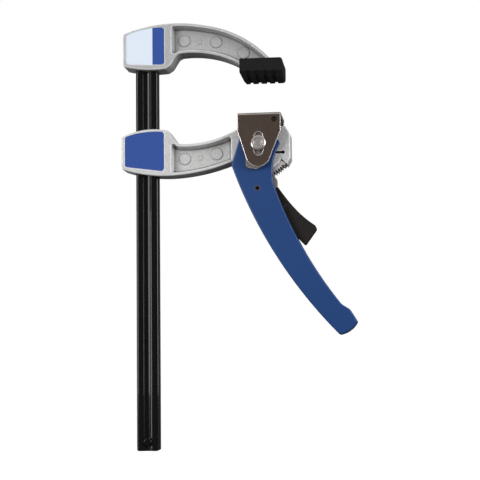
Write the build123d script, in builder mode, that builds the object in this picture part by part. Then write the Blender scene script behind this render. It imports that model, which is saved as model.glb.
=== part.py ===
"""Quick release bar clamp with a ratchet lever, throat 80 mm, opening 220 mm.

Frame: +Z runs up the bar, +X is the reach from the bar to the jaws, -Y is the labelled side.
The origin is the centre of the fixed jaw's clamping face, which looks down (-Z).
Outlines are drawn as (reach, height): reach is measured from the centre line of the bar.
"""
import os
from math import cos, hypot, radians, sin

from build123d import *

# ---------------------------------------------------------------- driving dimensions (mm)
throat = 80.4                  # bar edge to the middle of the jaws
bar_width = 17.2               # along the reach
bar_thickness = 9.0
bar_top = 33.0                 # end of the bar inside the fixed head
bar_bottom = -278.7
bar_x = -throat - bar_width / 2

arm_half = 8.8                 # half thickness of both arms and their heads
web_half = 2.0                 # half thickness of the web between the pockets
pocket_draft = 12.0            # degrees
edge_round = 0.8               # rounding of the cast edges
slide_gap = 0.5                # bar to sliding head

pivot_reach = 86.8             # lever pivot, measured from the bar
pivot_height = -51.1
pivot_radius = 3.0
running_gap = 0.05             # radial play of the pins that turn

cheek_outer = 12.0             # lever cheeks, measured from the middle plane
cheek_inner = 9.7
washer_inner = 12.15
washer_outer = 15.0
cap_inner = 15.2
cap_outer = 17.0

tip_radius = 24.0              # crests of the ratchet teeth
root_radius = 22.5
tooth_pitch = 5.0              # degrees
tooth_start = -67.7            # steep face of the tooth beside the pawl, degrees
teeth_open = 6                 # teeth on the opening side of it
teeth_close = 6                # teeth on the closing side of it
sector_half = 4.5

pawl_reach = 85.1              # pawl pin
pawl_height = -84.1
pawl_pin_radius = 2.0
pawl_half = 3.6
pawl_lift = 5.5                # degrees from seated in a tooth gap to clear of the crests

jaw_rise = 10.3                # rise of the jaw cap, mm for each radian of the lever
bar_nose = 3.0                 # radius of the pressure bar under the cap
cap_top = -27.9
cap_sheet = 1.8
follower_height = cap_top - cap_sheet - bar_nose - pivot_height


def front(y=0.0):
    """Sketch plane at depth y: its own x is the reach and its own y is the height."""
    return Plane(origin=(bar_x, y, 0), x_dir=(1, 0, 0), z_dir=(0, -1, 0))


def about_pivot(radius, angle):
    """A point at a radius and an angle in degrees from the lever pivot."""
    return (pivot_reach + radius * cos(radians(angle)), pivot_height + radius * sin(radians(angle)))


def turned(point, centre, angle):
    """A point turned about a centre, anticlockwise in the front view, in degrees."""
    dx, dz = point[0] - centre[0], point[1] - centre[1]
    c, s = cos(radians(angle)), sin(radians(angle))
    return (centre[0] + c * dx - s * dz, centre[1] + s * dx + c * dz)


def save(piece, name):
    """Label one sub-part and write its STEP file."""
    piece.part.label = name
    export_step(piece.part, f"parts/{name}.step")


os.makedirs("parts", exist_ok=True)

# ---------------------------------------------------------------- bar
groove_mouth = 6.4
groove_depth = 1.1
bar_corner = 2.0
groove_lip = 0.8               # radius of the groove's softened edges
stop_height = -272.0
stop_radius = 3.0
fixed_pin_heights = (18.0, 27.0)
fixed_pin_radius = 2.5

with BuildPart() as bar:
    with BuildSketch(Plane.XY.offset(bar_bottom)) as bar_section:
        with Locations((bar_x, 0)):
            RectangleRounded(bar_width, bar_thickness, bar_corner)
        for side in (-1, 1):
            with BuildLine():
                ThreePointArc((bar_x - groove_mouth / 2, side * bar_thickness / 2),
                              (bar_x, side * (bar_thickness / 2 - groove_depth)),
                              (bar_x + groove_mouth / 2, side * bar_thickness / 2))
                Line((bar_x - groove_mouth / 2, side * bar_thickness / 2),
                     (bar_x + groove_mouth / 2, side * bar_thickness / 2))
            make_face(mode=Mode.SUBTRACT)
        fillet(bar_section.vertices().filter_by(lambda v: abs(abs(v.X - bar_x) - groove_mouth / 2) < 0.01),
               groove_lip)
    extrude(amount=bar_top - bar_bottom)
    with BuildSketch(front()):
        with Locations((0, (bar_top + bar_bottom) / 2)):
            RectangleRounded(bar_width + 0.02, bar_top - bar_bottom, 2.0)
    extrude(amount=bar_thickness, both=True, mode=Mode.INTERSECT)
    with BuildSketch(front()):
        with Locations((0, stop_height)):
            Circle(stop_radius)
        with Locations(*[(0, height) for height in fixed_pin_heights]):
            Circle(fixed_pin_radius)
    extrude(amount=bar_thickness, both=True, mode=Mode.SUBTRACT)
save(bar, "bar")

# stop pin: pressed through the foot of the bar, its domed ends keep the sliding arm on
with BuildPart() as bar_stop_pin:
    with BuildSketch(front()):
        with Locations((0, stop_height)):
            Circle(stop_radius)
    extrude(amount=bar_thickness / 2 + 1.3, both=True)
    fillet(bar_stop_pin.edges().filter_by(GeomType.CIRCLE), 0.7)
save(bar_stop_pin, "bar_stop_pin")

# ---------------------------------------------------------------- shared by the two cast arms
label_depth = 0.5
label_thickness = 0.35
label_corner = 2.3
pocket_rim = 2.0
pocket_corner = 2.0
pocket_depth = arm_half - web_half
disc_rise = 0.45
mark_rise = 0.2                # small square mark between two discs
mark_side = 3.0
disc_radius = 4.3

# ---------------------------------------------------------------- fixed arm
upper_label_corners = ((-14.7, 36.7), (0.0, 40.8), (14.6, 41.7), (14.6, 12.7), (-14.7, 13.9))

# side view: head round the bar, curved arm, and the foot that carries the pad
with BuildSketch(front()) as fixed_outline:
    with BuildLine():
        ThreePointArc((-17.3, 12.3), (-2.0, 9.5), (15.6, 9.6))
        Polyline((15.6, 9.6), (19.3, 12.1), (24.6, 20.7))
        ThreePointArc((24.6, 20.7), (46.9, 20.3), (70.6, 12.0))
        Polyline((70.6, 12.0), (79.5, 4.8), (96.5, 4.8), (100.4, 8.6))
        ThreePointArc((100.4, 8.6), (77.0, 30.4), (46.4, 42.0))
        ThreePointArc((46.4, 42.0), (15.4, 44.4), (-17.3, 37.4))
        Line((-17.3, 37.4), (-17.3, 12.3))
    make_face()
    for corner, radius in (((24.6, 20.7), 6.0), ((19.3, 12.1), 5.0), ((15.6, 9.6), 4.0),
                           ((-17.3, 12.3), 2.0), ((-17.3, 37.4), 2.5), ((100.4, 8.6), 2.5)):
        fillet(fixed_outline.vertices().sort_by_distance((*corner, 0))[0], radius)

with BuildSketch(front(-arm_half)) as fixed_pocket:
    add(fixed_outline.sketch_local)
    offset(amount=-pocket_rim)
    with Locations((57.9, 28.0)):
        Rectangle(75.6, 36.0, mode=Mode.INTERSECT)
    offset(amount=-pocket_corner)
    offset(amount=pocket_corner)

with BuildSketch(front(-web_half)) as fixed_discs:
    with Locations((29.2, 32.2), (53.7, 30.4), (74.8, 21.3)):
        Circle(disc_radius)

with BuildSketch(front(-web_half)) as fixed_mark:
    with Locations((40.8, 31.0)):
        Rectangle(mark_side, mark_side)

with BuildPart() as fixed_arm:
    extrude(fixed_outline.sketch, amount=arm_half)
    fillet(fixed_arm.edges().filter_by(lambda e: e.center().Y < -arm_half + 0.1), edge_round)
    extrude(fixed_pocket.sketch, amount=-pocket_depth, taper=pocket_draft, mode=Mode.SUBTRACT)
    extrude(fixed_discs.sketch, amount=disc_rise)
    extrude(fixed_mark.sketch, amount=mark_rise)
    mirror(about=Plane.XZ)
    with BuildSketch(front(-arm_half)):
        with BuildLine():
            ThreePointArc(*upper_label_corners[:3])
            Polyline(*upper_label_corners[2:], upper_label_corners[0])
        make_face()
        fillet(vertices(), label_corner)
    extrude(amount=-label_depth, mode=Mode.SUBTRACT)
    with BuildSketch(front()):
        with Locations(*[(0, height) for height in fixed_pin_heights]):
            Circle(fixed_pin_radius)
    extrude(amount=arm_half, both=True, mode=Mode.SUBTRACT)
    add(bar.part, mode=Mode.SUBTRACT)
save(fixed_arm, "fixed_arm")

# upper label: a sheet of film in the head's shallow recess
with BuildPart() as upper_label:
    with BuildSketch(front(-arm_half + label_depth)):
        with BuildLine():
            ThreePointArc(*upper_label_corners[:3])
            Polyline(*upper_label_corners[2:], upper_label_corners[0])
        make_face()
        fillet(vertices(), label_corner)
    extrude(amount=label_thickness)
save(upper_label, "upper_label")

# two slotted spring pins through the head and the bar, their front ends under the label
with BuildPart() as fixed_arm_pins:
    with BuildSketch(front(arm_half - 0.2)):
        with Locations(*[(0, height) for height in fixed_pin_heights]):
            Circle(fixed_pin_radius)
            Circle(fixed_pin_radius - 1.0, mode=Mode.SUBTRACT)
        with Locations(*[(fixed_pin_radius, height) for height in fixed_pin_heights]):
            Rectangle(2 * fixed_pin_radius, 0.8, mode=Mode.SUBTRACT)
    extrude(amount=2 * arm_half - 0.2 - label_depth)
save(fixed_arm_pins, "fixed_arm_pins")

# ---------------------------------------------------------------- fixed jaw pad
pad_left = 72.8
pad_right = 105.2
pad_height = 13.7
pad_half = 15.0
pad_bevel = 4.0                # lower front and back edges
pad_groove = 1.1               # depth of the grooves across the clamping face
groove_width = 2.4
groove_pitch = 6.35
groove_places = [79.5 + groove_pitch * n for n in range(4)]

with BuildPart() as fixed_jaw_pad:
    for inset, begins, ends in ((pad_groove, pad_left, pad_right),
                                (0, pad_left, groove_places[0] - groove_width / 2),
                                *[(0, place + groove_width / 2, place + groove_pitch - groove_width / 2)
                                  for place in groove_places[:-1]],
                                (0, groove_places[-1] + groove_width / 2, pad_right)):
        with BuildSketch(Plane.YZ.offset(bar_x + begins)):
            with BuildLine():
                Polyline((-pad_half, pad_height), (-pad_half, pad_bevel + inset * 0.4),
                         (-pad_half + pad_bevel - inset * 0.4, inset),
                         (pad_half - pad_bevel + inset * 0.4, inset),
                         (pad_half, pad_bevel + inset * 0.4), (pad_half, pad_height), close=True)
            make_face()
        extrude(amount=ends - begins)
    with BuildSketch(front()) as pad_side:
        with BuildLine():
            Polyline((pad_left, 3.2), (pad_left + 2.6, 0), (pad_right, 0), (pad_right, pad_height),
                     (pad_left, pad_height), close=True)
        make_face()
        fillet(pad_side.vertices().group_by(Axis.X)[-1], 2.2)
        fillet(pad_side.vertices().group_by(Axis.X)[0], 0.8)
    extrude(amount=pad_half, both=True, mode=Mode.INTERSECT)
    add(fixed_arm.part, mode=Mode.SUBTRACT)
save(fixed_jaw_pad, "fixed_jaw_pad")

# ---------------------------------------------------------------- ratchet sector
sector_start = -36.5           # degrees about the pivot
sector_end = -106.0
sector_inner = 17.0
sector_hub = 9.0
crest_land = 0.4               # degrees
root_land = 0.7
flank_lean = 1.4               # the steep face leans as the pawl's nose swings in
slope_end = tooth_pitch - crest_land - flank_lean


def tooth_faces(start):
    """Steep face, root and slope of one tooth gap, from its steep face onwards."""
    return [about_pivot(tip_radius, start + flank_lean), about_pivot(root_radius, start),
            about_pivot(root_radius, start - root_land), about_pivot(tip_radius, start - slope_end)]


# steel segment let into the end of the sliding arm, its saw teeth face away from the pivot
with BuildPart() as ratchet_sector:
    with BuildSketch(front()) as sector_sketch:
        with BuildLine():
            gap_starts = [tooth_start + tooth_pitch * n
                          for n in range(teeth_open - 1, -teeth_close - 1, -1)]
            teeth = [corner for start in gap_starts for corner in tooth_faces(start)]
            Polyline(about_pivot(sector_inner, sector_start), about_pivot(tip_radius, sector_start),
                     *teeth, about_pivot(tip_radius, sector_end), about_pivot(sector_inner, sector_end),
                     about_pivot(5, sector_end), about_pivot(5, sector_start), close=True)
        make_face()
        with Locations((pivot_reach, pivot_height)):
            Circle(sector_hub)
            Circle(pivot_radius, mode=Mode.SUBTRACT)
    extrude(amount=sector_half, both=True)
save(ratchet_sector, "ratchet_sector")

# ---------------------------------------------------------------- sliding arm
boss_radius = 19.7
boss_top = -41.2
recess_radius = 8.2            # spring recess round the pivot
coil_radius = 6.0              # lever spring, to the middle of its wire
notch_reach = 104.4            # end of the groove that holds the spring's fixed leg
notch_width = 1.8
grip_radius = 2.5              # hardened pins that bite the bar's edges
grip_proud = 0.2
grip_heights = (-44.5, -65.0)
lower_label_corners = ((-16.0, -42.2), (-2.0, -39.0), (14.1, -39.0), (14.1, -69.2), (-16.0, -65.0))

with BuildSketch(front()) as sliding_outline:
    with BuildLine():
        ThreePointArc((-18.7, -66.6), (0, -71.3), (26.0, -72.2))
        ThreePointArc((26.0, -72.2), (48.0, -68.7), about_pivot(boss_radius, -148))
        ThreePointArc(about_pivot(boss_radius, -148), about_pivot(boss_radius, -90),
                      about_pivot(boss_radius, -34.5))
        Polyline(about_pivot(boss_radius, -34.5), about_pivot(25.3, -36.5), (109.8, -61.5),
                 (109.8, -43.2), (106.0, -37.1), (98.2, -37.1), (95.2, boss_top), (75.2, boss_top),
                 (71.2, -37.8))
        ThreePointArc((71.2, -37.8), (48.8, -46.7), (24.8, -48.4))
        Line((24.8, -48.4), (17.4, -38.0))
        ThreePointArc((17.4, -38.0), (-3.0, -37.2), (-18.7, -42.2))
        Line((-18.7, -42.2), (-18.7, -66.6))
    make_face()
    for corner, radius in (((24.8, -48.4), 5.0), ((17.4, -38.0), 2.0), ((-18.7, -42.2), 2.5),
                           ((-18.7, -66.6), 2.0), ((109.8, -43.2), 4.0), ((109.8, -61.5), 1.5),
                           (about_pivot(boss_radius, -148), 5.0)):
        fillet(sliding_outline.vertices().sort_by_distance((*corner, 0))[0], radius)

with BuildSketch(front(-arm_half)) as sliding_pocket:
    add(sliding_outline.sketch_local)
    offset(amount=-pocket_rim)
    with Locations((42.5, -58.0)):
        Rectangle(46.0, 40.0, mode=Mode.INTERSECT)
    offset(amount=-pocket_corner)
    offset(amount=pocket_corner)

with BuildSketch(front(-web_half)) as sliding_discs:
    with Locations((29.0, -59.0), (53.6, -55.9)):
        Circle(disc_radius)

with BuildSketch(front(-web_half)) as sliding_mark:
    with Locations((40.9, -58.6)):
        Rectangle(mark_side, mark_side)

with BuildPart() as sliding_arm:
    extrude(sliding_outline.sketch, amount=arm_half)
    fillet(sliding_arm.edges().filter_by(lambda e: e.center().Y < -arm_half + 0.1), edge_round)
    extrude(sliding_pocket.sketch, amount=-pocket_depth, taper=pocket_draft, mode=Mode.SUBTRACT)
    extrude(sliding_discs.sketch, amount=disc_rise)
    extrude(sliding_mark.sketch, amount=mark_rise)
    mirror(about=Plane.XZ)
    with BuildSketch(front(-arm_half)):
        with BuildLine():
            ThreePointArc(*lower_label_corners[:3])
            Polyline(*lower_label_corners[2:], lower_label_corners[0])
        make_face()
        fillet(vertices(), label_corner)
    extrude(amount=-label_depth, mode=Mode.SUBTRACT)
    with BuildSketch(Plane.XY.offset(-100)):
        with Locations((bar_x, 0)):
            Rectangle(bar_width + 2 * slide_gap, bar_thickness + 2 * slide_gap)
    extrude(amount=100, mode=Mode.SUBTRACT)
    with BuildSketch(front()):
        with Locations((pivot_reach, pivot_height)):
            Circle(pivot_radius)
        for side, height in zip((-1, 1), grip_heights):
            with Locations((side * (bar_width / 2 + slide_gap - grip_proud + grip_radius), height)):
                Circle(grip_radius)
    extrude(amount=arm_half, both=True, mode=Mode.SUBTRACT)
    with BuildSketch(front(-arm_half)):
        with Locations((pivot_reach, pivot_height)):
            Circle(recess_radius)
        with Locations(((pivot_reach + notch_reach) / 2, pivot_height - coil_radius)):
            Rectangle(notch_reach - pivot_reach, notch_width)
        with Locations((notch_reach, pivot_height - coil_radius)):
            Circle(notch_width * 0.75)
    extrude(amount=-(arm_half - sector_half), mode=Mode.SUBTRACT)
    add(ratchet_sector.part, mode=Mode.SUBTRACT)
save(sliding_arm, "sliding_arm")

# lower label: a sheet of film in the sliding head's recess
with BuildPart() as lower_label:
    with BuildSketch(front(-arm_half + label_depth)):
        with BuildLine():
            ThreePointArc(*lower_label_corners[:3])
            Polyline(*lower_label_corners[2:], lower_label_corners[0])
        make_face()
        fillet(vertices(), label_corner)
    extrude(amount=label_thickness)
save(lower_label, "lower_label")

# hardened pins, one on each edge of the bar: they bite when the arm tips under load
with BuildPart() as grip_pins:
    with BuildSketch(front(arm_half)):
        for side, height in zip((-1, 1), grip_heights):
            with Locations((side * (bar_width / 2 + slide_gap - grip_proud + grip_radius), height)):
                Circle(grip_radius)
    extrude(amount=2 * arm_half - label_depth)
save(grip_pins, "grip_pins")

# ---------------------------------------------------------------- pivot pin and thrust plates
head_radius = 5.55
head_inner = cap_outer + 0.1
head_height = 1.8

# headed pin, riveted over at the back: shank, two heads, each with a ring pressed in
with BuildPart() as pivot_pin:
    with BuildSketch(Plane(origin=(bar_x + pivot_reach, 0, pivot_height), x_dir=(1, 0, 0),
                           z_dir=(0, 0, 1))):
        with BuildLine():
            Polyline((0, 0), (pivot_radius, 0), (pivot_radius, head_inner),
                     (head_radius, head_inner), (head_radius, head_inner + 0.9),
                     (head_radius - 0.9, head_inner + head_height),
                     (3.75, head_inner + head_height), (3.45, head_inner + head_height - 0.5),
                     (2.6, head_inner + head_height - 0.5), (2.3, head_inner + head_height - 0.1),
                     (0, head_inner + head_height - 0.1), close=True)
        make_face()
    revolve(axis=Axis((bar_x + pivot_reach, 0, pivot_height), (0, 1, 0)))
    mirror(about=Plane.XZ)
save(pivot_pin, "pivot_pin")

# steel plates on the pin, between the lever's cheeks and the cap
with BuildPart() as thrust_plates:
    with BuildSketch(front(-washer_inner)) as plate_sketch:
        with BuildLine():
            Polyline((78.2, -41.8), (95.4, -41.8), (95.4, -58.3), (88.4, -68.6), (84.6, -70.2),
                     (79.4, -69.2), (77.1, -67.9), (77.1, -61.0), close=True)
        make_face()
        fillet(plate_sketch.vertices(), 1.2)
        with Locations((pivot_reach, pivot_height)):
            Circle(pivot_radius, mode=Mode.SUBTRACT)
    extrude(amount=washer_outer - washer_inner)
    mirror(about=Plane.XZ)
save(thrust_plates, "thrust_plates")

# ---------------------------------------------------------------- lever spring
lever_wire = 0.5               # radius
coil_start = -6.4              # depth of the turn that leads into the groove
coil_pitch = 1.05
coil_turns = 1.25
leg_bend = 1.2                 # radius

# torsion spring in the boss recess: one leg lies in the groove, the other enters the cheek
with BuildPart() as lever_spring:
    with BuildLine() as spring_path:
        coil = Helix(coil_pitch, coil_pitch * coil_turns, coil_radius, lefthand=True,
                     center=(bar_x + pivot_reach, coil_start, pivot_height), direction=(0, -1, 0))
        leg = Line(coil @ 0, (coil @ 0) - (notch_reach - pivot_reach) * (coil % 0))
        bend = TangentArc(coil @ 1, (coil @ 1) + leg_bend * ((coil % 1) + Vector(0, -1, 0)),
                          tangent=coil % 1)
        Line(bend @ 1, (bend @ 1) + (cheek_outer + (bend @ 1).Y) * (bend % 1))
    with BuildSketch(Plane(origin=leg @ 1, z_dir=coil % 0)):
        Circle(lever_wire)
    sweep(path=spring_path.wires()[0])
save(lever_spring, "lever_spring")

# ---------------------------------------------------------------- lever
cam_gap = 0.15
lever_round = 1.2              # the cheeks' outer edges
web_thickness = 2.1
window_radius = 55.8           # the web starts beyond the sweep of the trigger
pawl_pin_place = (pawl_reach, pawl_height)
pawl_coil_radius = 3.7         # pawl spring, to the middle of its wire
pawl_wire = 0.45               # radius
leg_play = 0.4                 # round the spring legs in the cheeks


def cam_point(turn):
    """Cam edge that meets the pressure bar once the lever has turned so far, drawn at rest.

    The bar rises in proportion to the turn. The common normal passes through the point at
    lever pivot height that lies jaw_rise before the pivot.
    """
    height = follower_height + jaw_rise * radians(turn)
    span = hypot(jaw_rise, height)
    reach = bar_nose + cam_gap
    contact = (pivot_reach - reach * jaw_rise / span, pivot_height + height - reach * height / span)
    return turned(contact, (pivot_reach, pivot_height), turn)


with BuildSketch(front()) as lever_outline:
    with BuildLine():
        Spline(*[cam_point(turn) for turn in range(-42, 36, 7)])
        Polyline(cam_point(35), (72.3, -37.8), (71.3, -48.2), (65.6, -66.2))
        ThreePointArc((65.6, -66.2), (104.4, -144.2), (144.6, -194.0))
        ThreePointArc((144.6, -194.0), (152.3, -190.9), (158.0, -184.4))
        Polyline((158.0, -184.4), (152.6, -175.6), (146.4, -171.6))
        ThreePointArc((146.4, -171.6), (119.8, -132.0), (99.0, -86.3))
        ThreePointArc((99.0, -86.3), (96.6, -75.8), (102.3, -50.6))
        Polyline((102.3, -50.6), (100.3, -46.6), (95.7, -44.4), cam_point(-42))
    make_face()
    for corner, radius in (((65.6, -66.2), 3.0), ((144.6, -194.0), 1.5), ((158.0, -184.4), 2.0),
                           ((152.6, -175.6), 4.0), ((146.4, -171.6), 8.0), ((99.0, -86.3), 6.0),
                           ((71.3, -48.2), 6.0), ((72.3, -37.8), 3.0)):
        fillet(lever_outline.vertices().sort_by_distance((*corner, 0))[0], radius)

# everything between the cheeks but the rolled web along the outer edge and round the end
with BuildSketch(front()) as lever_hollow:
    add(lever_outline.sketch_local)
    offset(amount=-web_thickness)
    add(lever_hollow.sketch_local.moved(Location((-4.5, -2.6))))
    with Locations(pawl_pin_place):
        Circle(window_radius)

with BuildPart() as lever:
    extrude(lever_outline.sketch, amount=cheek_outer, both=True)
    fillet(lever.edges().filter_by(lambda e: abs(e.center().Y) > cheek_outer - 0.1
                                   and e.bounding_box().max.Z < pivot_height), lever_round)
    extrude(lever_hollow.sketch, amount=cheek_inner, both=True, mode=Mode.SUBTRACT)
    with BuildSketch(front()):
        with Locations((pivot_reach, pivot_height)):
            Circle(pivot_radius + running_gap)
        with Locations(pawl_pin_place):
            Circle(pawl_pin_radius)
    extrude(amount=cheek_outer, both=True, mode=Mode.SUBTRACT)
    with BuildSketch(front()):
        with Locations((pivot_reach - coil_radius, pivot_height + leg_bend)):
            Circle(lever_wire + leg_play)
    extrude(amount=cheek_outer, mode=Mode.SUBTRACT)
    with BuildSketch(front()):
        with Locations((pawl_reach - leg_bend, pawl_height - pawl_coil_radius)):
            Circle(pawl_wire + leg_play)
    extrude(amount=-cheek_outer, mode=Mode.SUBTRACT)
save(lever, "lever")

# ---------------------------------------------------------------- pawl, its pin and its spring
with BuildPart() as pawl_pin:
    with BuildSketch(front(cheek_outer)):
        with Locations(pawl_pin_place):
            Circle(pawl_pin_radius)
            Circle(pawl_pin_radius - 0.9, mode=Mode.SUBTRACT)
    extrude(amount=2 * cheek_outer)
save(pawl_pin, "pawl_pin")

pawl_hub = 5.4
nose_gap = 0.22
nose_play = 0.4                # degrees
trigger_pin_place = (105.1, -97.2)
trigger_pin_radius = 1.3


def nose_point(radius, angle):
    """A corner of the pawl's nose, drawn seated in its tooth gap and swung clear of the crests."""
    return turned(about_pivot(radius, angle), pawl_pin_place, -pawl_lift)


with BuildPart() as pawl:
    with BuildSketch(front()) as pawl_sketch:
        with BuildLine():
            Polyline(nose_point(tip_radius + 2.5, tooth_start + 2 * flank_lean),
                     nose_point(root_radius + nose_gap, tooth_start - nose_play),
                     nose_point(root_radius + nose_gap, tooth_start - 2 * nose_play),
                     nose_point(tip_radius + 0.5, tooth_start - slope_end),
                     (85.1, -78.7), (81.7, -84.1), (86.3, -89.4), (106.5, -104.4), (111.1, -100.2),
                     (98.7, -84.0), (99.0, -79.8), close=True)
        make_face()
        fillet(pawl_sketch.vertices().sort_by_distance((99.0, -79.8, 0))[0], 1.5)
        with Locations(pawl_pin_place):
            Circle(pawl_hub)
            Circle(pawl_pin_radius + running_gap, mode=Mode.SUBTRACT)
        with Locations(trigger_pin_place):
            Circle(trigger_pin_radius, mode=Mode.SUBTRACT)
    extrude(amount=pawl_half, both=True)
save(pawl, "pawl")

# torsion spring on the back of the hub: one leg enters the cheek, the other pushes the trigger out
pawl_coil_start = 6.9
pawl_coil_pitch = 1.0
pawl_coil_turns = 2
pawl_leg = 9.6                 # from the foot of the coil to the trigger

with BuildPart() as pawl_spring:
    with BuildLine() as spring_path:
        coil = Helix(pawl_coil_pitch, pawl_coil_pitch * pawl_coil_turns, pawl_coil_radius,
                     center=(bar_x + pawl_reach, pawl_coil_start, pawl_height), direction=(0, -1, 0))
        leg = Line(coil @ 1, (coil @ 1) + pawl_leg * (coil % 1))
        bend = TangentArc(coil @ 0, (coil @ 0) + leg_bend * (Vector(0, 1, 0) - (coil % 0)),
                          tangent=-(coil % 0))
        Line(bend @ 1, (bend @ 1) + (cheek_outer - (bend @ 1).Y) * (bend % 1))
    with BuildSketch(Plane(origin=leg @ 1, z_dir=-(coil % 1))):
        Circle(pawl_wire)
    sweep(path=spring_path.wires()[0])
save(pawl_spring, "pawl_spring")

# ---------------------------------------------------------------- trigger
trigger_half = 6.4

# moulded shoe on the pawl's tail: pressing it into the lever lifts the pawl
with BuildPart() as trigger:
    with BuildSketch(front()) as trigger_sketch:
        with BuildLine():
            Spline((99.7, -82.4), (106.4, -91.8), (115.9, -102.8), (129.2, -113.4))
            Line((129.2, -113.4), (119.5, -126.7))
            Spline((119.5, -126.7), (106.2, -112.3), (96.7, -98.3), (93.3, -90.3))
            Line((93.3, -90.3), (99.7, -82.4))
        make_face()
        for corner, radius in (((129.2, -113.4), 2.5), ((119.5, -126.7), 1.2), ((99.7, -82.4), 1.0)):
            fillet(trigger_sketch.vertices().sort_by_distance((*corner, 0))[0], radius)
    extrude(amount=trigger_half, both=True)
    with BuildSketch(front()):
        with Locations(trigger_pin_place):
            Circle(trigger_pin_radius)
    extrude(amount=trigger_half, both=True, mode=Mode.SUBTRACT)
    add(pawl.part, mode=Mode.SUBTRACT)
save(trigger, "trigger")

# plain pin that holds the trigger on the pawl's tail
with BuildPart() as trigger_pin:
    with BuildSketch(front(trigger_half)):
        with Locations(trigger_pin_place):
            Circle(trigger_pin_radius)
    extrude(amount=2 * trigger_half)
save(trigger_pin, "trigger_pin")

# ---------------------------------------------------------------- jaw cap
cap_left = 71.2
cap_right = 103.4
cap_waist = -42.0              # height where the side plates start to narrow
slot_top = -42.8
slot_bottom = -60.1
slot_width = 6.6
fold_radius = 2.0

with BuildPart() as jaw_cap:
    with BuildSketch(front()) as cap_sketch:
        with BuildLine():
            Polyline((78.0, -63.6), (cap_left, cap_waist), (cap_left, cap_top), (cap_right, cap_top),
                     (cap_right, cap_waist), (94.4, -64.4))
            ThreePointArc((94.4, -64.4), (86.2, -68.8), (78.0, -63.6))
        make_face()
        fillet(cap_sketch.vertices().group_by(Axis.Y)[-2], 2.0)
    extrude(amount=cap_outer, both=True)
    with BuildSketch(Plane.YZ.offset(bar_x)):
        with Locations((0, cap_top - cap_sheet - 50)):
            Rectangle(2 * cap_inner, 100)
        fillet(vertices(), 0.6)
    extrude(amount=110, mode=Mode.SUBTRACT)
    fillet(jaw_cap.edges().filter_by(Axis.X).group_by(Axis.Z)[-1], fold_radius)
    with BuildSketch(front()):
        with Locations((pivot_reach, (slot_top + slot_bottom) / 2)):
            SlotOverall(slot_top - slot_bottom, slot_width, rotation=90)
        with Locations((98.6, -33.4)):
            Circle(1.0)
    extrude(amount=cap_outer, both=True, mode=Mode.SUBTRACT)
save(jaw_cap, "jaw_cap")

# hardened bar under the cap: flat on top, round below where the two cams push
with BuildPart() as pressure_bar:
    with BuildSketch(front()):
        with Locations((pivot_reach, pivot_height + follower_height)):
            Circle(bar_nose)
        with Locations((pivot_reach, pivot_height + follower_height + bar_nose / 2)):
            Rectangle(2 * bar_nose, bar_nose)
    extrude(amount=cap_inner - 0.8, both=True)
save(pressure_bar, "pressure_bar")
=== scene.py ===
"""Quick release bar clamp: black steel bar, two cast arms, ratchet lever, trigger and jaw cap."""
from math import hypot, radians

import bpy
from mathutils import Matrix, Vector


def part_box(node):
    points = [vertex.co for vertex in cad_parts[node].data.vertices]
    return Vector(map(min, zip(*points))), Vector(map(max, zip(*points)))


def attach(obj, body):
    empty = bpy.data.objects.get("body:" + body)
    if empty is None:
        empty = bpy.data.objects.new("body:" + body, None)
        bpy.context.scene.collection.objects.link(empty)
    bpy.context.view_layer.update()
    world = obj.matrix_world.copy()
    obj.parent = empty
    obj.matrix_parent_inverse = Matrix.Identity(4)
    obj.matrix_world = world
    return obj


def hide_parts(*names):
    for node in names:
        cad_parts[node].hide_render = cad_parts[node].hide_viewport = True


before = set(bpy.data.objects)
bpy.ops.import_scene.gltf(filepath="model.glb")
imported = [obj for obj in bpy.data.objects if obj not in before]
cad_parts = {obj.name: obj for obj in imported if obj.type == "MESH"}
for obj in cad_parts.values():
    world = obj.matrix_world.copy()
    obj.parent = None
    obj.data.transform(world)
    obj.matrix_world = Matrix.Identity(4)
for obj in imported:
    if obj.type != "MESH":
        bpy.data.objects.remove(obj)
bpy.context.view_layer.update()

# ---------------------------------------------------------------- bar
# Cold drawn steel flat with rounded corners and a shallow groove down both broad faces.
# Gloss black stove enamel: it carries a slight orange peel and rub marks from the sliding arm.


def place(tree, kind, inputs=None, **settings):
    """Adds one shader node, with its settings and the plain values of its sockets."""
    node = tree.nodes.new(kind)
    for name, value in settings.items():
        setattr(node, name, value)
    for name, value in (inputs or {}).items():
        node.inputs[name].default_value = value
    return node


def group(name, inputs, outputs):
    """A new shader node group with float sockets; returns its tree and its two end nodes."""
    tree = bpy.data.node_groups.new(name, "ShaderNodeTree")
    for socket, value in inputs.items():
        made = tree.interface.new_socket(socket, in_out="INPUT", socket_type="NodeSocketFloat")
        made.default_value = value
    for socket in outputs:
        tree.interface.new_socket(socket, in_out="OUTPUT", socket_type="NodeSocketFloat")
    return tree, tree.nodes.new("NodeGroupInput"), tree.nodes.new("NodeGroupOutput")


def step(tree, value, begins, ends):
    """A mask that is 0 up to one value and 1 from the other."""
    node = place(tree, "ShaderNodeMapRange", {"From Min": begins, "From Max": ends})
    tree.links.new(value, node.inputs["Value"])
    return node.outputs[0]


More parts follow.
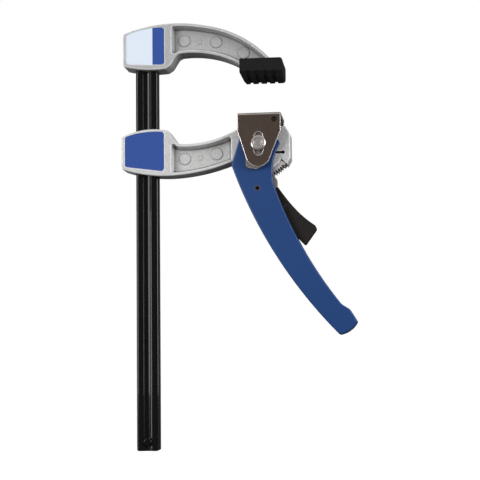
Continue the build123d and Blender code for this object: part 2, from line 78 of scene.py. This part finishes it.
def enamel_skin():
    """Sprayed and stoved paint: slow tone, orange peel, and hairline rubs along the piece."""
    sizes = {"Peel Size": 900.0, "Rub Length": 0.04}
    tree, given, out = group("enamel_skin", sizes, ("Tone", "Peel", "Rub"))
    link = tree.links.new
    where = place(tree, "ShaderNodeTexCoord")
    tone = place(tree, "ShaderNodeTexNoise", {"Scale": 24.0, "Detail": 3.0})
    link(where.outputs["Object"], tone.inputs["Vector"])
    link(tone.outputs["Fac"], out.inputs["Tone"])
    peel = place(tree, "ShaderNodeTexNoise", {"Detail": 2.0, "Roughness": 0.4})
    link(where.outputs["Object"], peel.inputs["Vector"])
    link(given.outputs["Peel Size"], peel.inputs["Scale"])
    link(peel.outputs["Fac"], out.inputs["Peel"])
    stretch = place(tree, "ShaderNodeCombineXYZ", {"X": 1.0, "Y": 1.0})
    link(given.outputs["Rub Length"], stretch.inputs["Z"])
    along = place(tree, "ShaderNodeVectorMath", operation="MULTIPLY")
    link(where.outputs["Object"], along.inputs[0])
    link(stretch.outputs[0], along.inputs[1])
    hair = place(tree, "ShaderNodeTexNoise", {"Scale": 2600.0, "Detail": 2.0})
    link(along.outputs[0], hair.inputs["Vector"])
    link(step(tree, hair.outputs["Fac"], 0.62, 0.78), out.inputs["Rub"])
    return tree


def material(name, metallic=0.0, coat=0.0, coat_roughness=0.1):
    """A material with one shader, and the shader that its section dresses."""
    made = bpy.data.materials.new(name)
    made.use_nodes = True
    shader = made.node_tree.nodes["Principled BSDF"]
    shader.inputs["Metallic"].default_value = metallic
    shader.inputs["Coat Weight"].default_value = coat
    shader.inputs["Coat Roughness"].default_value = coat_roughness
    return made, made.node_tree, shader


def skin(tree, skin_group, inputs=None):
    """Places a node group in a material."""
    return place(tree, "ShaderNodeGroup", inputs, node_tree=skin_group)


def blend(tree, mask, low, high):
    """Mixes from low to high where the mask goes from 0 to 1, each a colour or an output."""
    node = place(tree, "ShaderNodeMix", data_type="RGBA")
    tree.links.new(mask, node.inputs[0])
    for socket, colour in ((6, low), (7, high)):   # the Mix node's two colour sockets
        if isinstance(colour, tuple):
            node.inputs[socket].default_value = (*colour, 1)
        else:
            tree.links.new(colour, node.inputs[socket])
    return node.outputs[2]                         # and the colour that it puts out


def between(tree, mask, low, high, target):
    """Drives a socket from low to high where the mask goes from 0 to 1: a colour or a value."""
    if isinstance(high, tuple):
        tree.links.new(blend(tree, mask, low, high), target)
        return
    node = place(tree, "ShaderNodeMapRange", {"To Min": low, "To Max": high})
    tree.links.new(mask, node.inputs["Value"])
    tree.links.new(node.outputs[0], target)


def relief(tree, shader, height, depth, rounded=None):
    """A bump of that depth in metres, over edges rounded by a Bevel node where one is given."""
    node = place(tree, "ShaderNodeBump", {"Strength": 1.0, "Distance": depth})
    tree.links.new(height, node.inputs["Height"])
    if rounded:
        tree.links.new(rounded.outputs[0], node.inputs["Normal"])
    tree.links.new(node.outputs[0], shader.inputs["Normal"])


def dress(made, *names):
    """Lays a material on CAD nodes."""
    for name in names:
        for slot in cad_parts[name].material_slots:
            slot.material = made


enamel = enamel_skin()
bar_enamel, tree, shader = material("bar_black_enamel", coat=0.35, coat_roughness=0.04)
coat = skin(tree, enamel, {"Peel Size": 700.0, "Rub Length": 0.02})
between(tree, coat.outputs["Tone"], (0.0025, 0.0025, 0.003), (0.005, 0.005, 0.0055),
        shader.inputs["Base Color"])
shader.inputs["Specular IOR Level"].default_value = 0.15
between(tree, coat.outputs["Rub"], 0.25, 0.45, shader.inputs["Roughness"])
relief(tree, shader, coat.outputs["Peel"], 0.000004)
dress(bar_enamel, "bar", "bar_stop_pin")

# ---------------------------------------------------------------- fixed arm and sliding arm
# Both arms are aluminium die castings, tumbled and left bare, with pockets on both sides
# and ejector discs on the web. The skin is fine grained, with a painted highlight on raised edges
# and a painted shade in inner corners, and the sliding arm is the lighter casting of the two.


def cast_skin():
    """Tumbled casting: fine grain, sparkling flecks and slow blotches."""
    tree, given, out = group("cast_skin", {"Grain Size": 1500.0}, ("Grain", "Fleck", "Blotch"))
    link = tree.links.new
    where = place(tree, "ShaderNodeTexCoord")
    grain = place(tree, "ShaderNodeTexNoise", {"Detail": 4.0, "Roughness": 0.6})
    link(where.outputs["Object"], grain.inputs["Vector"])
    link(given.outputs["Grain Size"], grain.inputs["Scale"])
    link(grain.outputs["Fac"], out.inputs["Grain"])
    cell = place(tree, "ShaderNodeTexVoronoi", {"Scale": 1700.0, "Randomness": 1.0})
    link(where.outputs["Object"], cell.inputs["Vector"])
    link(step(tree, cell.outputs["Color"], 0.2, 0.9), out.inputs["Fleck"])
    blotch = place(tree, "ShaderNodeTexNoise", {"Scale": 90.0, "Detail": 3.0})
    link(where.outputs["Object"], blotch.inputs["Vector"])
    link(blotch.outputs["Fac"], out.inputs["Blotch"])
    return tree


def times(tree, first, second):
    """The product of two masks."""
    node = place(tree, "ShaderNodeMath", operation="MULTIPLY")
    tree.links.new(first, node.inputs[0])
    tree.links.new(second, node.inputs[1])
    return node.outputs[0]


def edge_wear_and_highlight():
    """A mask of the sharp edges, broken up by noise: for edge wear, and on some pieces for a
    painted highlight.
    """
    sizes = {"Width": 0.0006, "Break": 300.0, "Patchy": 0.35}
    tree, given, out = group("edge_wear_and_highlight", sizes, ("Edge",))
    link = tree.links.new
    rounded = place(tree, "ShaderNodeBevel", samples=4)
    link(given.outputs["Width"], rounded.inputs["Radius"])
    flat = place(tree, "ShaderNodeNewGeometry")
    meet = place(tree, "ShaderNodeVectorMath", operation="DOT_PRODUCT")
    link(rounded.outputs[0], meet.inputs[0])
    link(flat.outputs["Normal"], meet.inputs[1])
    edge = step(tree, meet.outputs["Value"], 0.995, 0.9)
    where = place(tree, "ShaderNodeTexCoord")
    noise = place(tree, "ShaderNodeTexNoise", {"Detail": 3.0})
    link(where.outputs["Object"], noise.inputs["Vector"])
    link(given.outputs["Break"], noise.inputs["Scale"])
    broken = place(tree, "ShaderNodeMapRange", {"From Max": 0.6})
    link(given.outputs["Patchy"], broken.inputs["From Min"])
    link(noise.outputs["Fac"], broken.inputs["Value"])
    link(times(tree, edge, broken.outputs[0]), out.inputs["Edge"])
    return tree


def crevice_shade():
    """A mask of inner corners, where painted shade darkens the colour."""
    tree, given, out = group("crevice_shade", {"Reach": 0.0016}, ("Crevice",))
    hollow = place(tree, "ShaderNodeAmbientOcclusion", samples=8, only_local=True)
    tree.links.new(given.outputs["Reach"], hollow.inputs["Distance"])
    tree.links.new(step(tree, hollow.outputs["AO"], 0.95, 0.6), out.inputs["Crevice"])
    return tree


def reading(tree, axis):
    """How far each point of the piece lies along one axis."""
    where = place(tree, "ShaderNodeTexCoord")
    split = place(tree, "ShaderNodeSeparateXYZ")
    tree.links.new(where.outputs["Object"], split.inputs[0])
    return split.outputs[axis]


def outer_faces(tree, pocket_wall=0.0060, face=0.0070):
    """1 on the arm's two faces and their rims, 0 down on the web between the pockets."""
    depth = place(tree, "ShaderNodeMath", operation="ABSOLUTE")
    tree.links.new(reading(tree, "Y"), depth.inputs[0])
    return step(tree, depth.outputs[0], pocket_wall, face)


casting = cast_skin()
wear_and_highlight = edge_wear_and_highlight()
corner_shade = crevice_shade()
castings = (("fixed_arm", (0.375, 0.375, 0.38), (0.51, 0.51, 0.51)),
            ("sliding_arm", (0.50, 0.50, 0.50), (0.68, 0.68, 0.675)))
for arm, dull, fresh in castings:
    arm_metal, tree, shader = material(f"{arm}_aluminium", metallic=0.25)
    cast = skin(tree, casting)
    worn_and_highlit = skin(tree, wear_and_highlight, {"Width": 0.0015, "Break": 200.0, "Patchy": -0.2})
    corners = skin(tree, corner_shade)
    grey = blend(tree, cast.outputs["Fleck"], dull, fresh)
    # painted highlight: the rims of the outer faces are lightened almost to white
    rubbed_and_highlit = times(tree, worn_and_highlit.outputs["Edge"], outer_faces(tree))
    with_highlight = blend(tree, rubbed_and_highlit, grey, (0.97, 0.97, 0.97))
    # painted shade: the inner corners are darkened to a dark grey
    between(tree, corners.outputs["Crevice"], with_highlight, (0.13, 0.13, 0.13),
            shader.inputs["Base Color"])
    between(tree, cast.outputs["Blotch"], 0.42, 0.58, shader.inputs["Roughness"])
    softened = place(tree, "ShaderNodeBevel", {"Radius": 0.0009}, samples=6)
    relief(tree, shader, cast.outputs["Grain"], 0.00006, softened)
    dress(arm_metal, arm)

# ---------------------------------------------------------------- spring pins and grip pins
# Slotted spring pins lock the fixed head to the bar; two hardened pins in the sliding head
# bite its edges. Ground steel, faintly ringed where it was turned.


def turned_skin():
    """Turned or ground steel: fine lines across one direction and a faint oil tone."""
    sizes = {"Across X": 1.0, "Across Y": 1.0, "Across Z": 1.0}
    tree, given, out = group("turned_skin", sizes, ("Line", "Oil"))
    link = tree.links.new
    where = place(tree, "ShaderNodeTexCoord")
    stretch = place(tree, "ShaderNodeCombineXYZ")
    for axis in "XYZ":
        link(given.outputs[f"Across {axis}"], stretch.inputs[axis])
    along = place(tree, "ShaderNodeVectorMath", operation="MULTIPLY")
    link(where.outputs["Object"], along.inputs[0])
    link(stretch.outputs[0], along.inputs[1])
    line = place(tree, "ShaderNodeTexNoise", {"Scale": 3000.0, "Detail": 3.0})
    link(along.outputs[0], line.inputs["Vector"])
    link(line.outputs["Fac"], out.inputs["Line"])
    oil = place(tree, "ShaderNodeTexNoise", {"Scale": 160.0, "Detail": 3.0})
    link(where.outputs["Object"], oil.inputs["Vector"])
    link(oil.outputs["Fac"], out.inputs["Oil"])
    return tree


turning = turned_skin()
pin_metal, tree, shader = material("ground_pin_steel", metallic=1.0)
lines = skin(tree, turning, {"Across X": 0.05, "Across Y": 1.0, "Across Z": 0.05})
between(tree, lines.outputs["Oil"], (0.42, 0.40, 0.38), (0.62, 0.60, 0.58),
        shader.inputs["Base Color"])
between(tree, lines.outputs["Line"], 0.22, 0.38, shader.inputs["Roughness"])
relief(tree, shader, lines.outputs["Line"], 0.000006)
dress(pin_metal, "fixed_arm_pins", "grip_pins")

# ---------------------------------------------------------------- fixed jaw pad
# Black rubber shoe, moulded over the foot of the fixed arm, with grooves across its face.
# Dull, slightly chalky on its raised lands.

pad_rubber, tree, shader = material("pad_black_rubber")
rubber = skin(tree, casting, {"Grain Size": 2200.0})
between(tree, rubber.outputs["Blotch"], (0.004, 0.004, 0.0042), (0.008, 0.008, 0.0082),
        shader.inputs["Base Color"])
shader.inputs["Specular IOR Level"].default_value = 0.22
between(tree, rubber.outputs["Fleck"], 0.62, 0.82, shader.inputs["Roughness"])
relief(tree, shader, rubber.outputs["Grain"], 0.00004)
dress(pad_rubber, "fixed_jaw_pad")

# ---------------------------------------------------------------- labels
# Laminated film, stuck in shallow recesses in both heads. Both are bare: the upper one is
# pale with a blue band along the side of the jaws, the lower one is blue all over.


def film_gloss(tree, shader):
    """The laminate's faint ripple, shared by both labels."""
    film = skin(tree, enamel, {"Peel Size": 350.0, "Rub Length": 1.0})
    between(tree, film.outputs["Rub"], 0.22, 0.4, shader.inputs["Roughness"])
    relief(tree, shader, film.outputs["Peel"], 0.000006)
    return film


pale_film, tree, shader = material("upper_label_film")
band_width = 0.0091
band_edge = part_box("upper_label")[1][0] - band_width
ink_bleed = 0.00012
film_gloss(tree, shader)
band = step(tree, reading(tree, "X"), band_edge - ink_bleed, band_edge + ink_bleed)
between(tree, band, (0.72, 0.79, 0.90), (0.030, 0.082, 0.33), shader.inputs["Base Color"])
dress(pale_film, "upper_label")

blue_film, tree, shader = material("lower_label_film")
film = film_gloss(tree, shader)
between(tree, film.outputs["Tone"], (0.028, 0.074, 0.30), (0.034, 0.086, 0.34),
        shader.inputs["Base Color"])
dress(blue_film, "lower_label")

# ---------------------------------------------------------------- ratchet sector
# Case hardened steel with sawn teeth, cast into the end of the sliding arm. The hub sits between
# the arm's faces, and the toothed rim is nearly as wide as the arm.

sector_steel, tree, shader = material("sector_steel", metallic=0.5)
ground = skin(tree, turning, {"Across X": 1.0, "Across Y": 0.06, "Across Z": 1.0})
worn_and_highlit = skin(tree, wear_and_highlight, {"Width": 0.0004, "Break": 900.0, "Patchy": 0.1})
corners = skin(tree, corner_shade, {"Reach": 0.0012})
steel = blend(tree, ground.outputs["Oil"], (0.46, 0.45, 0.44), (0.66, 0.65, 0.64))
# painted highlight: the sharp edges are lightened almost to white
with_highlight = blend(tree, worn_and_highlit.outputs["Edge"], steel, (0.95, 0.94, 0.93))
# painted shade: the inner corners between the teeth are darkened almost to black
between(tree, corners.outputs["Crevice"], with_highlight, (0.05, 0.045, 0.04), shader.inputs["Base Color"])
between(tree, ground.outputs["Line"], 0.35, 0.5, shader.inputs["Roughness"])
relief(tree, shader, ground.outputs["Line"], 0.00001)

pin_low, pin_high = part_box("pivot_pin")
pivot_x, pivot_z = (pin_low[0] + pin_high[0]) / 2, (pin_low[2] + pin_high[2]) / 2
hub_reach = 0.0165             # inside this radius the sector keeps its thickness
rim_spread = 1.85              # the rim's thickness over the hub's

bpy.ops.object.select_all(action="DESELECT")
sector = bpy.data.objects.new("toothed_sector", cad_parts["ratchet_sector"].data.copy())
bpy.context.scene.collection.objects.link(sector)
bpy.context.view_layer.objects.active = sector
sector.select_set(True)
bpy.ops.object.mode_set(mode="EDIT")
bpy.ops.mesh.select_mode(type="VERT")
bpy.ops.mesh.select_all(action="SELECT")
bpy.ops.mesh.remove_doubles(threshold=0.000001)   # the solid's mesh comes as loose triangles
bpy.ops.mesh.select_all(action="DESELECT")
bpy.ops.object.mode_set(mode="OBJECT")
for corner in sector.data.vertices:
    corner.select = hypot(corner.co.x - pivot_x, corner.co.z - pivot_z) > hub_reach
bpy.ops.object.mode_set(mode="EDIT")
bpy.ops.transform.resize(value=(1, rim_spread, 1), center_override=(0, 0, 0))
bpy.ops.object.mode_set(mode="OBJECT")
sector.data.materials.clear()
sector.data.materials.append(sector_steel)
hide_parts("ratchet_sector")
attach(sector, "sliding_arm")

# ---------------------------------------------------------------- pawl and pressure bar
# Case hardened tool steel, sawn and ground: the pawl rides in the lever, and the bar under the
# cap takes the thrust of the two cams.

tool_metal, tree, shader = material("hardened_tool_steel", metallic=0.5)
ground = skin(tree, turning, {"Across X": 1.0, "Across Y": 0.06, "Across Z": 1.0})
worn_and_highlit = skin(tree, wear_and_highlight, {"Width": 0.0003, "Break": 900.0})
hardened = blend(tree, ground.outputs["Oil"], (0.30, 0.25, 0.21), (0.55, 0.50, 0.45))
between(tree, worn_and_highlit.outputs["Edge"], hardened, (0.85, 0.83, 0.8), shader.inputs["Base Color"])
between(tree, ground.outputs["Line"], 0.28, 0.5, shader.inputs["Roughness"])
relief(tree, shader, ground.outputs["Line"], 0.00001)
dress(tool_metal, "pawl", "pressure_bar")

# ---------------------------------------------------------------- pivot pin and the small pins
# The pivot pin is turned steel with a ringed head, riveted over at the back. The pawl pin is
# a tubular rivet and the trigger pin a plain pressed-in one, both browned.

pivot_metal, tree, shader = material("turned_pivot_steel", metallic=1.0)
lines = skin(tree, turning, {"Across X": 1.0, "Across Y": 1.0, "Across Z": 1.0})
between(tree, lines.outputs["Oil"], (0.70, 0.67, 0.66), (0.88, 0.85, 0.84),
        shader.inputs["Base Color"])
between(tree, lines.outputs["Line"], 0.28, 0.42, shader.inputs["Roughness"])
relief(tree, shader, lines.outputs["Line"], 0.000008)
dress(pivot_metal, "pivot_pin")

brown_metal, tree, shader = material("browned_pin_steel", metallic=0.6)
lines = skin(tree, turning, {"Across X": 1.0, "Across Y": 0.2, "Across Z": 1.0})
between(tree, lines.outputs["Oil"], (0.03, 0.022, 0.018), (0.09, 0.07, 0.06),
        shader.inputs["Base Color"])
between(tree, lines.outputs["Line"], 0.35, 0.6, shader.inputs["Roughness"])
relief(tree, shader, lines.outputs["Line"], 0.00001)
dress(brown_metal, "pawl_pin", "trigger_pin")

# ---------------------------------------------------------------- jaw cap and thrust plates
# The cap is bright nickel plated sheet, folded over both sides of the arm. Its sheared edges
# are rubbed bare and carry a painted highlight, and a painted shade darkens the sheet round its
# small hole. The plates beside the lever are plain steel, with a painted highlight on their edges.


def beside_hole(tree, x, z, begins, ends):
    """A mask that is 0 round a hole through the side plates and 1 further off."""
    where = place(tree, "ShaderNodeTexCoord")
    offset = place(tree, "ShaderNodeVectorMath", operation="SUBTRACT")
    offset.inputs[1].default_value = (x, 0, z)
    tree.links.new(where.outputs["Object"], offset.inputs[0])
    across = place(tree, "ShaderNodeVectorMath", operation="MULTIPLY")
    across.inputs[1].default_value = (1, 0, 1)
    tree.links.new(offset.outputs[0], across.inputs[0])
    apart = place(tree, "ShaderNodeVectorMath", operation="LENGTH")
    tree.links.new(across.outputs[0], apart.inputs[0])
    return step(tree, apart.outputs["Value"], begins, ends)


plate_metal, tree, shader = material("plated_sheet_steel", metallic=1.0)
polish = skin(tree, turning, {"Across X": 1.0, "Across Y": 1.0, "Across Z": 0.02})
worn_and_highlit = skin(tree, wear_and_highlight, {"Width": 0.0011, "Break": 120.0, "Patchy": -0.1})
sheet = blend(tree, polish.outputs["Oil"], (0.60, 0.54, 0.50), (0.74, 0.68, 0.64))
cap_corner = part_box("jaw_cap")[1]
hole_from_edge, hole_from_top = 0.0048, 0.0055
shade_reach, shade_end = 0.0014, 0.0024     # from the middle of the hole
# painted shade: the sheet is darkened round the small hole, which lies in shadow
off_hole = beside_hole(tree, cap_corner[0] - hole_from_edge, cap_corner[2] - hole_from_top,
                    shade_reach, shade_end)
shaded_round_hole = blend(tree, off_hole, (0.05, 0.04, 0.035), sheet)
# painted highlight: the sheared edges are lightened almost to white and made less metallic
rubbed_and_highlit = times(tree, worn_and_highlit.outputs["Edge"], off_hole)
between(tree, rubbed_and_highlit, shaded_round_hole, (0.95, 0.90, 0.90), shader.inputs["Base Color"])
between(tree, rubbed_and_highlit, 1.0, 0.15, shader.inputs["Metallic"])
between(tree, polish.outputs["Line"], 0.1, 0.24, shader.inputs["Roughness"])
sheared = place(tree, "ShaderNodeBevel", {"Radius": 0.0006}, samples=6)
relief(tree, shader, polish.outputs["Line"], 0.000004, sheared)
dress(plate_metal, "jaw_cap")

thrust_steel, tree, shader = material("thrust_plate_steel", metallic=0.45)
ground = skin(tree, turning, {"Across X": 0.05, "Across Y": 1.0, "Across Z": 1.0})
worn_and_highlit = skin(tree, wear_and_highlight, {"Width": 0.0007, "Break": 300.0, "Patchy": 0.0})
# painted highlight: the plates' edges are lightened almost to white
between(tree, worn_and_highlit.outputs["Edge"], (0.24, 0.215, 0.20), (0.92, 0.88, 0.86),
        shader.inputs["Base Color"])
between(tree, ground.outputs["Line"], 0.35, 0.5, shader.inputs["Roughness"])
relief(tree, shader, ground.outputs["Oil"], 0.00001)
dress(thrust_steel, "thrust_plates")

# ---------------------------------------------------------------- springs
# Two torsion springs in drawn spring wire, phosphated: one turns the lever back, the other
# pushes the trigger out.

wire_metal, tree, shader = material("spring_wire", metallic=1.0)
drawn = skin(tree, turning, {"Across X": 1.0, "Across Y": 1.0, "Across Z": 1.0})
between(tree, drawn.outputs["Oil"], (0.10, 0.09, 0.085), (0.26, 0.24, 0.23),
        shader.inputs["Base Color"])
between(tree, drawn.outputs["Line"], 0.3, 0.45, shader.inputs["Roughness"])
relief(tree, shader, drawn.outputs["Line"], 0.000006)
dress(wire_metal, "lever_spring", "pawl_spring")

# ---------------------------------------------------------------- lever
# Pressed steel handle: two cheeks with the two cams at their upper ends, joined by a rolled
# web. Blue satin enamel, worn thin along the edges.

lever_enamel, tree, shader = material("lever_blue_enamel", coat=0.05, coat_roughness=0.3)
paint = skin(tree, enamel, {"Peel Size": 1100.0, "Rub Length": 0.3})
worn_and_highlit = skin(tree, wear_and_highlight, {"Width": 0.0007, "Break": 260.0})
blue = blend(tree, paint.outputs["Tone"], (0.009, 0.047, 0.178), (0.013, 0.057, 0.205))
between(tree, worn_and_highlit.outputs["Edge"], blue, (0.22, 0.2, 0.22), shader.inputs["Base Color"])
shader.inputs["Specular IOR Level"].default_value = 0.35
between(tree, paint.outputs["Rub"], 0.38, 0.5, shader.inputs["Roughness"])
relief(tree, shader, paint.outputs["Peel"], 0.00001)
dress(lever_enamel, "lever")

# ---------------------------------------------------------------- trigger
# Glass filled nylon shoe, spark eroded texture, pinned on the pawl's tail.

trigger_nylon, tree, shader = material("trigger_black_nylon")
nylon = skin(tree, casting, {"Grain Size": 1800.0})
between(tree, nylon.outputs["Blotch"], (0.008, 0.006, 0.005), (0.015, 0.011, 0.009),
        shader.inputs["Base Color"])
shader.inputs["Specular IOR Level"].default_value = 0.3
between(tree, nylon.outputs["Fleck"], 0.5, 0.68, shader.inputs["Roughness"])
relief(tree, shader, nylon.outputs["Grain"], 0.00005)
dress(trigger_nylon, "trigger")

# ---------------------------------------------------------------- floor
# Plain pale floor, well below the clamp, so that its soft shadow falls below the picture. It
# throws little light back up, so the undersides stay dark.

floor_height = -0.40
camera_glow = 0.75             # glow that takes the floor to white where the camera sees it
mirrored_glow = 0.06           # and the little that metal mirrors

bpy.ops.object.select_all(action="DESELECT")
bpy.ops.mesh.primitive_plane_add(size=12.0, location=(0, 0, floor_height))
floor = bpy.context.object
floor.name = "floor"
bpy.ops.object.transform_apply(location=True)
floor_paint, tree, shader = material("floor_pale_paint")
shader.inputs["Roughness"].default_value = 0.9
shader.inputs["Specular IOR Level"].default_value = 0.1
shader.inputs["Emission Color"].default_value = (1, 1, 1, 1)
path = place(tree, "ShaderNodeLightPath")
between(tree, path.outputs["Is Camera Ray"], (0.05, 0.05, 0.05), (0.85, 0.85, 0.85),
        shader.inputs["Base Color"])
seen = place(tree, "ShaderNodeMath", {1: camera_glow}, operation="MULTIPLY")
tree.links.new(path.outputs["Is Camera Ray"], seen.inputs[0])
shown = place(tree, "ShaderNodeMath", {1: mirrored_glow}, operation="MULTIPLY_ADD")
tree.links.new(path.outputs["Is Glossy Ray"], shown.inputs[0])
tree.links.new(seen.outputs[0], shown.inputs[2])
tree.links.new(shown.outputs[0], shader.inputs["Emission Strength"])
floor.data.materials.append(floor_paint)

# ---------------------------------------------------------------- surroundings and lamps
# White surroundings that are dark brown in front of the clamp where its metal mirrors them. Two
# large soft lamps stand at either side of the camera, and a small one lights the left edges.

world = bpy.data.worlds.new("studio")
bpy.context.scene.world = world
world.use_nodes = True
tree = world.node_tree
sky = tree.nodes["Background"]
where = place(tree, "ShaderNodeTexCoord")
split = place(tree, "ShaderNodeSeparateXYZ")
tree.links.new(where.outputs["Generated"], split.inputs[0])


def toward(axis, begins, ends):
    """A smooth mask of the part of the surroundings that lies towards one side."""
    mask = place(tree, "ShaderNodeMapRange", {"From Min": begins, "From Max": ends},
                 interpolation_type="SMOOTHSTEP")
    tree.links.new(split.outputs[axis], mask.inputs["Value"])
    return mask.outputs[0]


path = place(tree, "ShaderNodeLightPath")
around = blend(tree, toward("Y", -0.6, 0.3), (0.075, 0.055, 0.045), (0.10, 0.10, 0.10))
mirrored = blend(tree, toward("Z", 0.3, 0.75), around, (0.55, 0.55, 0.55))
soft = blend(tree, toward("Y", -0.9, 0.0), (0.8, 0.8, 0.8), (0.16, 0.16, 0.16))
lit = blend(tree, path.outputs["Is Glossy Ray"], soft, mirrored)
between(tree, path.outputs["Is Camera Ray"], lit, (1.0, 1.0, 1.0), sky.inputs["Color"])


def lamp(name, size, watts, place_at, turn):
    """A rectangular lamp, turned from looking straight down."""
    light = bpy.data.lights.new(name, "AREA")
    light.shape = "RECTANGLE"
    light.size, light.size_y = size
    light.energy = watts
    holder = bpy.data.objects.new(name, light)
    holder.location = place_at
    holder.rotation_euler = [radians(angle) for angle in turn]
    bpy.context.scene.collection.objects.link(holder)


lamp("side_left", (0.6, 0.8), 9.5, (-0.925, -0.996, 0.12), (84, 0, -40))
lamp("side_right", (0.6, 0.8), 12.0, (1.10, -0.53, 0.12), (84, 0, 66))
lamp("low_left", (0.3, 0.4), 2.5, (-1.0, -0.15, -0.18), (92, 0, -82))

# ---------------------------------------------------------------- camera

view = bpy.data.cameras.new("camera")
view.sensor_width = 36.0
view.lens = 86.55
view.shift_x = -0.076
view.shift_y = 0.0604
holder = bpy.data.objects.new("camera", view)
holder.location = (0.0890, -0.8600, -0.2100)
holder.rotation_euler = [radians(angle) for angle in (94.369, 0.708, 5.398)]
bpy.context.scene.collection.objects.link(holder)
bpy.context.scene.camera = holder
bpy.context.scene.view_settings.view_transform = "Standard"
